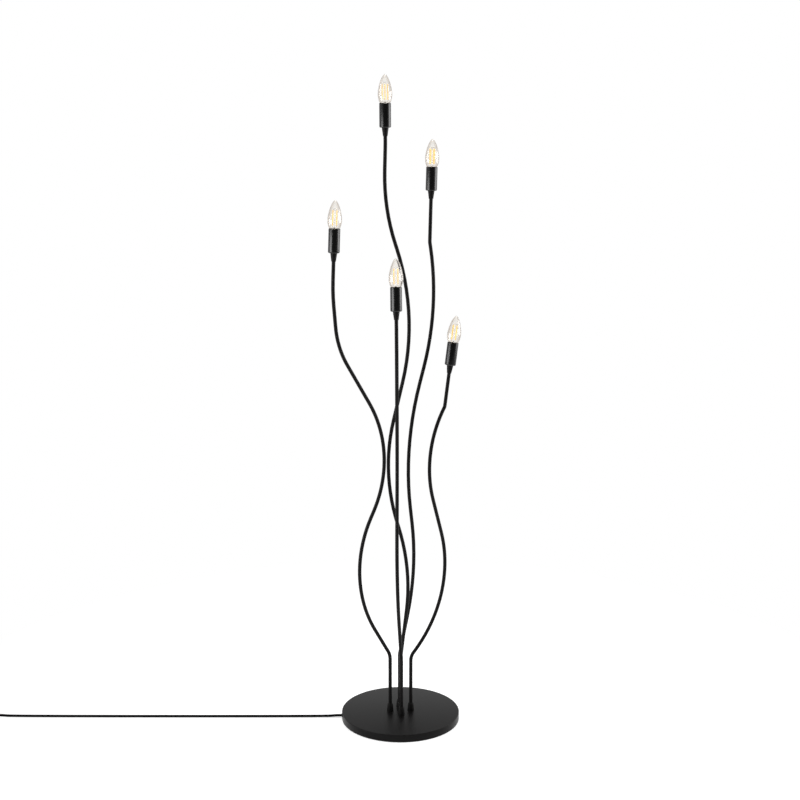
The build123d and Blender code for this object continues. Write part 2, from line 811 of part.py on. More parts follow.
# from the switch down to the floor and into the coil
coil_start = Vector(coil_x + cord_diameter, 0, cord_radius)
cord_tail_points = [
    Vector(switch_left + switch_wall + switch_cord_inside, 0, switch_cord_height),
    Vector(switch_left - 14, 0, switch_cord_height),
    Vector(switch_left - 38, 0, cord_radius),
    coil_start,
]
cord_tube("cord_tail", cord_tail_points)

# The coil lies on the floor. It winds inwards clockwise in half turns, each half a pitch
# smaller, climbs to the second layer in one half turn and winds outwards again above itself.
winding_points = [Vector(coil_x, 0, cord_radius)]
winding_radius = coil_outer_radius
heading = 1
for half_turn in range(coil_half_turns):
    winding_points.append(winding_points[-1] + Vector(0, heading * 2 * winding_radius, 0))
    heading = -heading
    winding_radius -= coil_pitch / 2
climb_index = len(winding_points)
climb_middle = winding_points[-1] + Vector(
    -heading * math.hypot(winding_radius, coil_layer_height / 2),
    heading * winding_radius,
    coil_layer_height / 2,
)
winding_points.append(winding_points[-1] + Vector(0, heading * 2 * winding_radius, coil_layer_height))
for half_turn in range(coil_half_turns):
    heading = -heading
    winding_radius += coil_pitch / 2
    winding_points.append(winding_points[-1] + Vector(0, heading * 2 * winding_radius, 0))
coil_end = winding_points[-1] + Vector(cord_diameter, 0, 0)

with BuildPart() as cord_coil:
    with BuildLine() as winding:
        Line(coil_start, winding_points[0])
        direction = Vector(-1, 0, 0)
        for index, (start, end) in enumerate(zip(winding_points, winding_points[1:]), 1):
            if index == climb_index:
                rising = TangentArc(start, climb_middle, tangent=direction)
                TangentArc(climb_middle, end, tangent=rising % 1)
            else:
                TangentArc(start, end, tangent=direction)
            direction = -direction
        Line(winding_points[-1], coil_end)
    winding_path = winding.wires()[0]
    with BuildSketch(Plane(origin=coil_start, z_dir=Vector(-1, 0, 0))):
        Circle(cord_radius)
    sweep(path=winding_path)
cord_coil.part.label = "cord_coil"
export_step(cord_coil.part, "parts/cord_coil.step")
winding_length = winding_path.length
print("cord_coil", "length", round(winding_length, 1), "volume over section times length",
      round(cord_coil.part.volume / (math.pi * cord_radius**2 * winding_length), 5))

# least gap between stretches of the coil that are more than half an inner turn apart
sample_step = 3.0
sample_count = int(winding_length / sample_step)
samples = [winding_path @ (index / sample_count) for index in range(sample_count + 1)]
skip = int(math.pi * (coil_outer_radius - coil_half_turns * coil_pitch / 2) / sample_step)
least_gap = min(
    (samples[i] - samples[j]).length
    for i in range(len(samples))
    for j in range(i + skip, len(samples))
) - cord_diameter
print("cord_coil least gap to itself", round(least_gap, 2))

# off the top of the coil and down to the plug
plug_height = plug_thickness / 2
plug_entry = coil_end + Vector(plug_gap, 0, plug_height - coil_end.Z)
cord_end_points = [
    coil_end,
    coil_end + Vector(plug_gap * 0.3, 0, 0),
    plug_entry - Vector(plug_gap * 0.3, 0, 0),
    plug_entry,
]
cord_tube("cord_end", cord_end_points)

# ---- Foot switch -----------------------------------------------------------------------

switch_top = switch_base_height + switch_cover_height
inner_length = switch_length - 2 * switch_wall
inner_width = switch_width - 2 * switch_wall
screw_post_radius = switch_screw_radius + switch_wall
mechanism_bottom = switch_wall
mechanism_top = mechanism_bottom + mechanism_height
switch_screw_spots = [(switch_x + side * switch_screw_spacing / 2, side * switch_width / 5) for side in (-1, 1)]
cord_ends = [(switch_left, 1), (switch_right, -1)]

with BuildPart() as switch_base:
    with BuildSketch():
        with Locations((switch_x, 0)):
            SlotOverall(switch_length, switch_width)
    extrude(amount=switch_base_height)
    chamfer(switch_base.edges().group_by(Axis.Z)[0], 0.6)
    with BuildSketch(Plane.XY.offset(switch_wall)):
        with Locations((switch_x, 0)):
            SlotOverall(inner_length, inner_width)
    extrude(amount=switch_base_height - switch_wall, mode=Mode.SUBTRACT)
    with BuildSketch(Plane.XY.offset(switch_wall)):
        with Locations(*switch_screw_spots):
            Circle(screw_post_radius)
    extrude(amount=switch_base_height - switch_wall)
    with BuildSketch():
        with Locations(*switch_screw_spots):
            Circle(switch_screw_radius + fit_gap)
    extrude(amount=switch_base_height, mode=Mode.SUBTRACT)
    with BuildSketch():
        with Locations(*switch_screw_spots):
            Circle(switch_screw_head_radius + fit_gap)
    extrude(amount=switch_wall, mode=Mode.SUBTRACT)
    for end_x, inwards in cord_ends:
        with BuildSketch(Plane.YZ.offset(end_x)):
            with Locations((0, switch_cord_height)):
                Circle(cord_radius + fit_gap)
        extrude(amount=inwards * (switch_wall + switch_cord_inside), mode=Mode.SUBTRACT)
switch_base.part.label = "switch_base"
export_step(switch_base.part, "parts/switch_base.step")

with BuildPart() as switch_cover:
    with BuildSketch(Plane.XY.offset(switch_base_height)):
        with Locations((switch_x, 0)):
            SlotOverall(switch_length, switch_width)
    extrude(amount=switch_cover_height)
    fillet(switch_cover.edges().group_by(Axis.Z)[-1], switch_edge_radius)
    with BuildSketch(Plane.XY.offset(switch_base_height)):
        with Locations((switch_x, 0)):
            SlotOverall(inner_length, inner_width)
    extrude(amount=switch_cover_height - switch_wall, mode=Mode.SUBTRACT)
    fillet(
        switch_cover.edges().filter_by(lambda e: abs(e.center().Z - switch_top + switch_wall) < 0.01),
        switch_edge_radius - switch_wall,
    )
    with BuildSketch(Plane.XY.offset(switch_base_height)):
        with Locations(*switch_screw_spots):
            Circle(screw_post_radius)
    extrude(amount=switch_cover_height - switch_wall)
    with BuildSketch(Plane.XY.offset(switch_base_height)):
        with Locations(*switch_screw_spots):
            Circle(switch_screw_radius + fit_gap)
    extrude(amount=switch_screw_length - switch_base_height + switch_wall + 1, mode=Mode.SUBTRACT)
    with BuildSketch(Plane.XY.offset(switch_base_height)):
        with Locations((switch_x, 0)):
            Circle(button_radius + slide_gap)
    extrude(amount=switch_cover_height, mode=Mode.SUBTRACT)
    for end_x, inwards in cord_ends:
        with BuildSketch(Plane.YZ.offset(end_x)):
            with Locations((0, switch_cord_height)):
                Circle(cord_radius + fit_gap)
        extrude(amount=inwards * (switch_wall + switch_cord_inside), mode=Mode.SUBTRACT)
switch_cover.part.label = "switch_cover"
export_step(switch_cover.part, "parts/switch_cover.step")

# The button is a cup with a flange that stops it under the cover.
button_top = switch_top + button_proud
button_bottom = button_top - button_height
flange_top = switch_top - switch_wall - 0.1
with BuildPart() as switch_button:
    with BuildSketch(Plane.XY.offset(button_bottom)):
        with Locations((switch_x, 0)):
            Circle(button_radius)
    extrude(amount=button_height)
    fillet(switch_button.edges().group_by(Axis.Z)[-1], button_wall)
    with BuildSketch(Plane.XY.offset(flange_top - button_flange)):
        with Locations((switch_x, 0)):
            Circle(button_radius + button_flange)
    extrude(amount=button_flange)
    with BuildSketch(Plane.XY.offset(min(button_bottom, flange_top - button_flange))):
        with Locations((switch_x, 0)):
            Circle(button_radius - button_wall)
    extrude(amount=button_height - button_wall, mode=Mode.SUBTRACT)
switch_button.part.label = "switch_button"
export_step(switch_button.part, "parts/switch_button.step")

# contact block on the base's floor, and the spring that stands on it under the button
with BuildPart() as switch_block:
    with BuildSketch(Plane.XY.offset(mechanism_bottom)):
        with Locations((switch_x, 0)):
            RectangleRounded(mechanism_length, mechanism_width, 2)
    extrude(amount=mechanism_height)
    with BuildSketch(Plane.XY.offset(mechanism_top)):
        with Locations((switch_x, 0)):
            Circle(spring_radius - 2 * spring_wire_radius - fit_gap)
    extrude(amount=2)
switch_block.part.label = "switch_block"
export_step(switch_block.part, "parts/switch_block.step")

spring_bottom = mechanism_top + spring_wire_radius + fit_gap
spring_top = button_top - button_wall - spring_wire_radius - 0.1
spring_height = spring_top - spring_bottom
with BuildPart() as switch_spring:
    with BuildLine(Plane.XY.offset(spring_bottom)):
        with Locations((switch_x, 0)):
            coil_wire = Helix(spring_height / spring_turns, spring_height, spring_radius - spring_wire_radius,
                              center=(switch_x, 0, 0))
    with BuildSketch(Plane(origin=coil_wire @ 0, z_dir=coil_wire % 0)):
        Circle(spring_wire_radius)
    sweep(path=coil_wire, is_frenet=True)
switch_spring.part.label = "switch_spring"
export_step(switch_spring.part, "parts/switch_spring.step")

with BuildPart() as switch_screws:
    with BuildSketch(Plane.XY.offset(0.4)):
        with Locations(*switch_screw_spots):
            Circle(switch_screw_head_radius)
    extrude(amount=switch_wall - 0.4)
    with BuildSketch(Plane.XY.offset(switch_wall)):
        with Locations(*switch_screw_spots):
            Circle(switch_screw_radius)
    extrude(amount=switch_screw_length)
switch_screws.part.label = "switch_screws"
export_step(switch_screws.part, "parts/switch_screws.step")

# ---- Plug ------------------------------------------------------------------------------

relief_end = plug_entry.X + plug_relief_length
plug_face = relief_end + plug_body_length
plug_y = plug_entry.Y
with BuildPart() as plug_body:
    with BuildSketch(Plane.YZ.offset(relief_end)):
        with Locations((plug_y, plug_height)):
            RectangleRounded(plug_tail_width, plug_tail_thickness, 4)
    with BuildSketch(Plane.YZ.offset(plug_face)):
        with Locations((plug_y, plug_height)):
            RectangleRounded(plug_width, plug_thickness, 4)
    loft()
    with BuildSketch(Plane.YZ.offset(plug_entry.X)):
        with Locations((plug_y, plug_height)):
            Circle(plug_relief_end_radius)
    with BuildSketch(Plane.YZ.offset(relief_end)):
        with Locations((plug_y, plug_height)):
            Circle(plug_relief_start_radius)
    loft()
    with BuildSketch(Plane.YZ.offset(plug_face - pin_embedded)):
        with Locations((plug_y, plug_height)):
            with GridLocations(pin_spacing, 0, 2, 1):
                Circle(pin_radius + fit_gap)
    extrude(amount=pin_embedded, mode=Mode.SUBTRACT)
plug_body.part.label = "plug_body"
export_step(plug_body.part, "parts/plug_body.step")

with BuildPart() as plug_pins:
    with BuildSketch(Plane.YZ.offset(plug_face - pin_embedded)):
        with Locations((plug_y, plug_height)):
            with GridLocations(pin_spacing, 0, 2, 1):
                Circle(pin_radius)
    extrude(amount=pin_embedded + pin_length)
    fillet(plug_pins.edges().group_by(Axis.X)[-1], pin_radius * 0.6)
plug_pins.part.label = "plug_pins"
export_step(plug_pins.part, "parts/plug_pins.step")

print("plug from", round(plug_entry.X, 1), "to", round(plug_face + pin_length, 1), "at y", round(plug_y, 1))
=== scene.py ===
import bmesh
import bpy
import math
from mathutils import Matrix, Vector


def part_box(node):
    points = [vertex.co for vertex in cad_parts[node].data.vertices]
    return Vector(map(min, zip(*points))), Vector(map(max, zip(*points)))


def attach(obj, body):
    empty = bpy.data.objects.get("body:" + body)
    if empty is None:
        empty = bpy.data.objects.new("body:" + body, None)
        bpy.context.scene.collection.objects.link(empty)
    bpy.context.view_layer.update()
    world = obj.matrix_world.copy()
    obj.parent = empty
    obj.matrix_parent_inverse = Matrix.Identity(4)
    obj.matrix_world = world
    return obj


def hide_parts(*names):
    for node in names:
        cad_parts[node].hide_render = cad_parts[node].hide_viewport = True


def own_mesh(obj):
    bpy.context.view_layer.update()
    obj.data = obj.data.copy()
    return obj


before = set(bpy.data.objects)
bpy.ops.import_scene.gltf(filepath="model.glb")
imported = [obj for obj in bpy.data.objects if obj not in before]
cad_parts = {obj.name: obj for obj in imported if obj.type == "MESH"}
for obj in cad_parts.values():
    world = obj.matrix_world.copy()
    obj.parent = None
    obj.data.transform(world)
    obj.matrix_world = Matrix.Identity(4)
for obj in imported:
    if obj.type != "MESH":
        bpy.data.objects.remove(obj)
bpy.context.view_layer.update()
mm = 0.001

# The camera stands as far away and as high as the photographer's. Its place is in mm, its pitch
# in degrees, and what it can see starts and ends at the two clip distances, in m.
cameraSettings = {
    "focal": 65.07, "height": 1558, "distance": 3477, "sideways": -1.2, "pitchDown": 11.76,
    "clipStart": 0.05, "clipEnd": 60,
}


def addCamera(settings):
    data = bpy.data.cameras.new("camera")
    data.lens = settings["focal"]
    data.clip_start = settings["clipStart"]
    data.clip_end = settings["clipEnd"]
    camera = bpy.data.objects.new("camera", data)
    bpy.context.scene.collection.objects.link(camera)
    camera.location = Vector((settings["sideways"], -settings["distance"], settings["height"])) * mm
    camera.rotation_euler = (math.radians(90 - settings["pitchDown"]), 0, 0)
    bpy.context.scene.camera = camera


addCamera(cameraSettings)
print("camera placed")


def srgb(hexCode):
    # a hex colour to the linear values that Blender works in
    parts = [int(hexCode[i:i + 2], 16) / 255 for i in (1, 3, 5)]
    return [c / 12.92 if c <= 0.04045 else ((c + 0.055) / 1.055) ** 2.4 for c in parts] + [1]


def addNode(tree, kind, links=(), **settings):
    # one node with its settings; links are (input, output socket of another node)
    node = tree.nodes.new(kind)
    for name, value in settings.items():
        if hasattr(node, name):
            setattr(node, name, value)
        else:
            node.inputs[name].default_value = value
    for name, source in links:
        tree.links.new(source, node.inputs[name])
    return node


def newMaterial(name, colour, roughness, metallic=0.0, specular=0.5, ior=1.5):
    material = bpy.data.materials.new(name)
    material.use_nodes = True
    shader = material.node_tree.nodes["Principled BSDF"]
    shader.inputs["Base Color"].default_value = srgb(colour)
    shader.inputs["Roughness"].default_value = roughness
    shader.inputs["Metallic"].default_value = metallic
    shader.inputs["Specular IOR Level"].default_value = specular
    shader.inputs["IOR"].default_value = ior
    material.diffuse_color = srgb(colour)
    return material, shader


# where the two grain colours are reached in the noise, and how rough the noise itself is
grainSettings = {"firstColourAt": 0.32, "lastColourAt": 0.68, "noiseRoughness": 0.55}


def addGrain(material, shader, size, depth, colours=None, rough=None, stretch=(1, 1, 1), detail=2.0):
    # fine unevenness: size is the grain in mm, depth the height of the bumps in mm
    tree = material.node_tree
    place = addNode(tree, "ShaderNodeTexCoord")
    mapping = addNode(tree, "ShaderNodeMapping", [("Vector", place.outputs["Object"])])
    mapping.inputs["Scale"].default_value = [s / (size * mm) for s in stretch]
    noise = addNode(tree, "ShaderNodeTexNoise", [("Vector", mapping.outputs["Vector"])],
                    Scale=1.0, Detail=detail, Roughness=grainSettings["noiseRoughness"])
    bump = addNode(tree, "ShaderNodeBump", [("Height", noise.outputs["Fac"])],
                   Strength=1.0, Distance=depth * mm)
    tree.links.new(bump.outputs["Normal"], shader.inputs["Normal"])
    if colours:
        ramp = addNode(tree, "ShaderNodeValToRGB", [("Fac", noise.outputs["Fac"])])
        ramp.color_ramp.elements[0].position = grainSettings["firstColourAt"]
        ramp.color_ramp.elements[0].color = srgb(colours[0])
        ramp.color_ramp.elements[1].position = grainSettings["lastColourAt"]
        ramp.color_ramp.elements[1].color = srgb(colours[1])
        tree.links.new(ramp.outputs["Color"], shader.inputs["Base Color"])
    if rough:
        spread = addNode(tree, "ShaderNodeMapRange", [("Value", noise.outputs["Fac"])])
        spread.inputs["To Min"].default_value = rough[0]
        spread.inputs["To Max"].default_value = rough[1]
        tree.links.new(spread.outputs["Result"], shader.inputs["Roughness"])


def powderCoat():
    # black polyester powder baked on steel: matt, with the faint brown-grey cast and fine
    # orange peel that sprayed powder has
    material, shader = newMaterial("powder_coated_steel", "#141313", 0.45, specular=0.1)
    addGrain(material, shader, 0.6, 0.006, ("#121111", "#171616"), (0.4, 0.5))
    return material


def shadedCoverCoat():
    # the same powder as the stems on the pressed cover, smoother; its colour is painted darker than the
    # stems' as painted shade, so the cover's side stays dim
    material, shader = newMaterial("powder_cover_painted_dark", "#0b0a0a", 0.36, specular=0.1)
    addGrain(material, shader, 0.8, 0.006, ("#0a0909", "#0d0c0c"), (0.32, 0.4))
    return material


def sleeveLacquer():
    # turned aluminium in black semi-gloss lacquer, smooth enough to show an upright highlight
    material, shader = newMaterial("lacquered_aluminium", "#0b0b0b", 0.26, specular=0.42)
    addGrain(material, shader, 0.5, 0.002, ("#0a0a0a", "#0d0d0d"), (0.23, 0.29))
    return material


def bulbGlass():
    # thin clear blown soda-lime glass, which light passes through almost straight
    material, shader = newMaterial("blown_glass", "#fafaf8", 0.0, specular=0.5, ior=1.45)
    shader.inputs["Transmission Weight"].default_value = 1.0
    # painted shade: seen edge on, the glass colour turns from clear white to brown-grey, standing in for
    # the grey reflections the bulb shows at its rims
    tree = material.node_tree
    edge = addNode(tree, "ShaderNodeLayerWeight", Blend=0.3)
    paintedEdgeShade = addNode(tree, "ShaderNodeValToRGB", [("Fac", edge.outputs["Facing"])])
    paintedEdgeShade.color_ramp.elements[0].position = 0.02
    paintedEdgeShade.color_ramp.elements[0].color = srgb("#fbfaf8")
    paintedEdgeShade.color_ramp.elements[1].position = 0.8
    paintedEdgeShade.color_ramp.elements[1].color = srgb("#b0a79f")
    paintedEdgeShade.color_ramp.elements.new(0.25).color = srgb("#e3ddd6")
    tree.links.new(paintedEdgeShade.outputs["Color"], shader.inputs["Base Color"])
    return material


def ledFilament():
    # sapphire strip with diodes under yellow phosphor silicone, glowing warm white
    material, shader = newMaterial("phosphor_silicone", "#e8bc5a", 0.45, ior=1.41)
    shader.inputs["Emission Color"].default_value = srgb("#ffdc90")
    shader.inputs["Emission Strength"].default_value = 0.55
    addGrain(material, shader, 0.8, 0.03)
    return material


def nickelWire():
    # drawn nickel lead wire, bright
    material, shader = newMaterial("drawn_nickel_wire", "#b9b0a4", 0.3, metallic=1.0)
    addGrain(material, shader, 0.3, 0.003, rough=(0.24, 0.36), stretch=(1, 1, 0.1))
    return material


def nickelPlate():
    # brass with nickel plate, on the bulbs' caps and the plug's pins: faint drawing marks
    material, shader = newMaterial("nickel_plated_brass", "#c9c5bd", 0.24, metallic=1.0)
    addGrain(material, shader, 0.4, 0.003, ("#c2beb6", "#cfccc5"), (0.18, 0.3), stretch=(0.3, 0.3, 2))
    return material


def brassSheet():
    # pressed brass strip, slightly tarnished
    material, shader = newMaterial("pressed_brass", "#c49a4a", 0.3, metallic=1.0)
    addGrain(material, shader, 1.5, 0.004, ("#b88f43", "#cfa555"), (0.24, 0.38))
    return material


def zincPlate():
    # bright zinc on steel: blue-grey crystals and fine drawing lines
    material, shader = newMaterial("zinc_plated_steel", "#a9adb1", 0.36, metallic=1.0)
    addGrain(material, shader, 2.0, 0.004, ("#9fa4a9", "#b6b9bc"), (0.3, 0.44), detail=4.0)
    return material


def castIron():
    # grey iron as it leaves the sand, coarse and dark
    material, shader = newMaterial("sand_cast_iron", "#4a4846", 0.75, metallic=0.6)
    addGrain(material, shader, 1.6, 0.12, ("#3f3d3b", "#56534f"), (0.66, 0.85), detail=5.0)
    return material


def evaFoam():
    # closed-cell EVA sheet with a cut skin: open bubbles about 1 mm across
    material, shader = newMaterial("eva_foam", "#222223", 0.9, specular=0.3)
    tree = material.node_tree
    place = addNode(tree, "ShaderNodeTexCoord")
    cells = addNode(tree, "ShaderNodeTexVoronoi", [("Vector", place.outputs["Object"])], Scale=900.0)
    bump = addNode(tree, "ShaderNodeBump", [("Height", cells.outputs["Distance"])],
                   Strength=0.8, Distance=0.2 * mm)
    tree.links.new(bump.outputs["Normal"], shader.inputs["Normal"])
    return material


def cordJacket():
    # extruded flexible PVC with a satin skin and a slight ripple from the cores inside
    material, shader = newMaterial("extruded_pvc", "#050505", 0.6, specular=0.04)
    addGrain(material, shader, 0.7, 0.01, ("#040404", "#070707"), (0.55, 0.66))
    return material


def leadJacket():
    # two-core lead inside the stems, off-white PVC
    material, shader = newMaterial("lead_pvc", "#cfccc4", 0.45)
    addGrain(material, shader, 0.9, 0.01, ("#c8c5bc", "#d6d3cc"), (0.4, 0.52))
    return material


def mouldedAbs():
    # injection moulded ABS with the spark-eroded matt grain of the tool
    material, shader = newMaterial("moulded_abs", "#0f0f0f", 0.5, specular=0.35, ior=1.53)
    addGrain(material, shader, 0.35, 0.02, ("#0d0d0d", "#131313"), (0.44, 0.6))
    return material


def polishedAbs():
    # the same ABS from a polished cavity, as the foot switch's button is
    material, shader = newMaterial("polished_abs", "#111111", 0.25, specular=0.45, ior=1.53)
    addGrain(material, shader, 1.2, 0.003, ("#0f0f0f", "#151515"), (0.2, 0.32))
    return material


def bushRubber():
    # nitrile rubber bush, matt
    material, shader = newMaterial("nitrile_rubber", "#1b1b1b", 0.62, specular=0.4)
    addGrain(material, shader, 0.5, 0.02, ("#191919", "#212121"), (0.55, 0.7))
    return material


def glazedSteatite():
    # pressed steatite insert under a thin clear glaze
    material, shader = newMaterial("glazed_steatite", "#d9d3c3", 0.22)
    addGrain(material, shader, 1.8, 0.02, ("#d2cbb9", "#e0dacc"), (0.16, 0.3))
    return material


def polyamide():
    # natural polyamide block, a little waxy
    material, shader = newMaterial("natural_polyamide", "#d8d4c6", 0.4)
    shader.inputs["Subsurface Weight"].default_value = 0.1
    shader.inputs["Subsurface Scale"].default_value = 1.5 * mm
    addGrain(material, shader, 1.0, 0.015, ("#d1cdbe", "#dedacd"), (0.34, 0.48))
    return material


def springWire():
    # oil-tempered spring steel wire
    material, shader = newMaterial("tempered_wire", "#77787a", 0.32, metallic=1.0)
    addGrain(material, shader, 0.4, 0.003, rough=(0.26, 0.4))
    return material


materials = {
    "coat": powderCoat(), "cover": shadedCoverCoat(), "lacquer": sleeveLacquer(), "glass": bulbGlass(),
    "phosphor": ledFilament(), "wire": nickelWire(), "nickel": nickelPlate(), "brass": brassSheet(),
    "zinc": zincPlate(), "iron": castIron(), "foam": evaFoam(), "pvc": cordJacket(), "lead": leadJacket(),
    "abs": mouldedAbs(), "polished": polishedAbs(), "rubber": bushRubber(), "ceramic": glazedSteatite(),
    "polyamide": polyamide(), "spring": springWire(),
}
print("materials made:", len(materials))


def roundedProfile(points, rounding, steps=4):
    # corners of a profile, some of them rounded: rounding is {index: radius}
    made = []
    for index, (r, z) in enumerate(points):
        radius = rounding.get(index, 0)
        if not radius:
            made.append((r, z))
            continue
        here = Vector((r, z))
        back = (Vector(points[index - 1]) - here).normalized()
        ahead = (Vector(points[index + 1]) - here).normalized()
        half = back.angle(ahead) / 2
        centre = here + (back + ahead).normalized() * radius / math.sin(half)
        first = here + back * radius / math.tan(half) - centre
        last = here + ahead * radius / math.tan(half) - centre
        for step in range(steps + 1):
            spot = centre + first.normalized().slerp(last.normalized(), step / steps) * radius
            made.append((spot.x, spot.y))
    return made


def lathe(bm, profile, steps):
    # a profile of (radius, height) in mm turned all the way round Z; returns its vertices
    before = set(bm.verts)
    line = [bm.verts.new((r * mm, 0, z * mm)) for r, z in profile]
    edges = [bm.edges.new(pair) for pair in zip(line, line[1:])]
    bmesh.ops.spin(bm, geom=line + edges, cent=(0, 0, 0), axis=(0, 0, 1), angle=2 * math.pi,
                   steps=steps, use_merge=True)
    made = [v for v in bm.verts if v not in before]
    bmesh.ops.remove_doubles(bm, verts=made, dist=0.001 * mm)
    return [v for v in made if v.is_valid]


def newPiece(name, bm, body, material, nodes=(), sharp=32, modifiers=()):
    # turns a bmesh into a finished piece on its body
    bmesh.ops.recalc_face_normals(bm, faces=bm.faces)
    mesh = bpy.data.meshes.new(name)
    bm.to_mesh(mesh)
    bm.free()
    mesh.polygons.foreach_set("use_smooth", [True] * len(mesh.polygons))
    mesh.set_sharp_from_angle(angle=math.radians(sharp))
    mesh.materials.append(materials[material])
    piece = bpy.data.objects.new(name, mesh)
    bpy.context.scene.collection.objects.link(piece)
    for kind, settings in modifiers:
        modifier = piece.modifiers.new(kind.lower(), kind)
        for key, value in settings.items():
            setattr(modifier, key, value)
    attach(piece, body)
    if nodes:
        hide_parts(*nodes)
    return piece


def standing(seat, towards):
    # puts what was made upright at the origin on its seat, along the tube that carries it
    turned = Vector((0, 0, 1)).rotation_difference(Vector(towards)).to_matrix().to_4x4()
    return Matrix.Translation(Vector(seat) * mm) @ turned


# Bends as in the part's source: where the straight stretches would cross, and the radius.
stemSettings = {
    "diameter": 9, "footHeight": 9, "endBelowSeat": 8, "sides": 28, "degreesPerStep": 2.5,
    "ring": 26.5, "ringTurn": 5,
    "feet": {"centre": None, "right": 0, "rear": 90, "left": 180, "front": 270},
    "firstBend": {"centre": (157, 300), "right": (166, 28), "rear": (162, 30), "left": (172, 45),
                  "front": (167, 40)},
    "bends": {
        "centre": [((28, -5.5, 404), 520), ((-48, 9.5, 648), 500), ((43.5, -8.5, 1045), 600),
                   ((-40, 8, 1301), 510), ((-36, 7, 1452), 510)],
        "right": [((144.5, 78, 309), 305), ((52.5, 19, 694), 290), ((110.5, 56, 805.5), 16)],
        "rear": [((42.5, 57.5, 383), 650), ((7.5, 33.5, 708), 730), ((96.5, 95.5, 1050), 620),
                 ((72, 78.5, 1214), 30)],
        "left": [((-138.5, -56, 390), 317), ((-5.5, 8, 697), 293), ((-151, -62, 974), 226),
                 ((-161, -67, 1106), 475)],
        "front": [((-9, -124, 392), 330), ((-8, -34, 692), 330), ((-9, -116, 967), 330)],
    },
    "seats": {"centre": (-36.2, 7, 1491.5), "right": (123.5, 64.5, 909), "rear": (75, 80.5, 1339),
              "left": (-157.5, -65, 1201.8), "front": (-10, -108, 1068.8)},
}
stemNames = list(stemSettings["feet"])


def footOf(name):
    angle = stemSettings["feet"][name]
    if angle is None:
        return 0.0, 0.0
    angle = math.radians(angle + stemSettings["ringTurn"])
    return stemSettings["ring"] * math.cos(angle), stemSettings["ring"] * math.sin(angle)


def seatAxis(name):
    return Vector(stemSettings["seats"][name]) - Vector(stemSettings["bends"][name][-1][0])


def bentTube(bm, points, radii, radius, sides, degreesPerStep):
    # a circle drawn along straight runs and spun round each bend; all in mm
    points = [Vector(p) for p in points]
    rim = bmesh.ops.create_circle(bm, cap_ends=True, radius=radius * mm, segments=sides,
                                  matrix=standing(points[0], points[1] - points[0]))["verts"]
    loop = [edge for edge in bm.edges if all(vert in rim for vert in edge.verts)]
    here = points[0]
    for index, bendRadius in enumerate(radii, 1):
        corner = points[index]
        back = (points[index - 1] - corner).normalized()
        ahead = (points[index + 1] - corner).normalized()
        half = back.angle(ahead) / 2
        bendStart = corner + back * bendRadius / math.tan(half)
        loop = drawAlong(bm, loop, bendStart - here)
        centre = corner + (back + ahead).normalized() * bendRadius / math.sin(half)
        turn = math.pi - 2 * half
        steps = max(2, math.ceil(math.degrees(turn) / degreesPerStep))
        corners = list(dict.fromkeys(vert for edge in loop for vert in edge.verts))
        spun = bmesh.ops.spin(bm, geom=loop + corners, cent=centre * mm, axis=ahead.cross(back),
                              angle=turn, steps=steps)
        loop = [g for g in spun["geom_last"] if isinstance(g, bmesh.types.BMEdge)]
        here = corner + ahead * bendRadius / math.tan(half)
    loop = drawAlong(bm, loop, points[-1] - here)
    bmesh.ops.contextual_create(bm, geom=loop)


def drawAlong(bm, loop, run):
    # one straight stretch
    start = {vert for edge in loop for vert in edge.verts}
    drawn = bmesh.ops.extrude_edge_only(bm, edges=loop)["geom"]
    bmesh.ops.translate(bm, verts=[g for g in drawn if isinstance(g, bmesh.types.BMVert)], vec=run * mm)
    return [g for g in drawn if isinstance(g, bmesh.types.BMEdge) and not start & set(g.verts)]


def addStem(name, s):
    footX, footY = footOf(name)
    firstHeight, firstRadius = s["firstBend"][name]
    route = [(footX, footY, s["footHeight"]), (footX, footY, firstHeight)]
    route += [point for point, _ in s["bends"][name]]
    route.append(Vector(s["seats"][name]) - seatAxis(name).normalized() * s["endBelowSeat"])
    radii = [firstRadius] + [radius for _, radius in s["bends"][name]]
    bm = bmesh.new()
    bentTube(bm, route, radii, s["diameter"] / 2, s["sides"], s["degreesPerStep"])
    newPiece("stem_tube_" + name, bm, "lamp", "coat", ["stem_" + name], sharp=50)


for name in stemNames:
    addStem(name, stemSettings)
print("stems bent")

baseSettings = {
    "radius": 150, "top": 20, "wall": 1.5, "floorGap": 0.6, "edge": 0.9, "lipEdge": 0.3, "steps": 160,
}
# radii at the bottom and the top, with a low foot that stands straight up
ferruleSettings = {
    "bottom": 8.5, "top": 6.5, "height": 20, "bore": 4.6, "foot": 0.8, "footEdge": 0.3, "topEdge": 1.0,
    "steps": 40,
}


def addBaseCover(s):
    inner = s["radius"] - s["wall"]
    profile = roundedProfile(
        [(0, s["top"]), (s["radius"], s["top"]), (s["radius"], s["floorGap"]), (inner, s["floorGap"]),
         (inner, s["top"] - s["wall"]), (0, s["top"] - s["wall"])],
        {1: s["edge"], 2: s["lipEdge"], 3: s["lipEdge"]})
    bm = bmesh.new()
    lathe(bm, profile, s["steps"])
    newPiece("cover_shell", bm, "lamp", "cover", ["base_cover"], sharp=40)


def addFerrules(s, onTop):
    profile = roundedProfile(
        [(s["bore"], 0), (s["bottom"], 0), (s["bottom"], s["foot"]), (s["top"], s["height"]),
         (s["bore"], s["height"])],
        {1: s["footEdge"], 3: s["topEdge"]})
    bm = bmesh.new()
    for name in stemNames:
        verts = lathe(bm, profile + [profile[0]], s["steps"])
        footX, footY = footOf(name)
        bmesh.ops.translate(bm, verts=verts, vec=Vector((footX, footY, onTop)) * mm)
    newPiece("ferrule_cones", bm, "lamp", "coat", ["stem_ferrules"], sharp=40)


addBaseCover(baseSettings)
addFerrules(ferruleSettings, baseSettings["top"])
print("base covered")

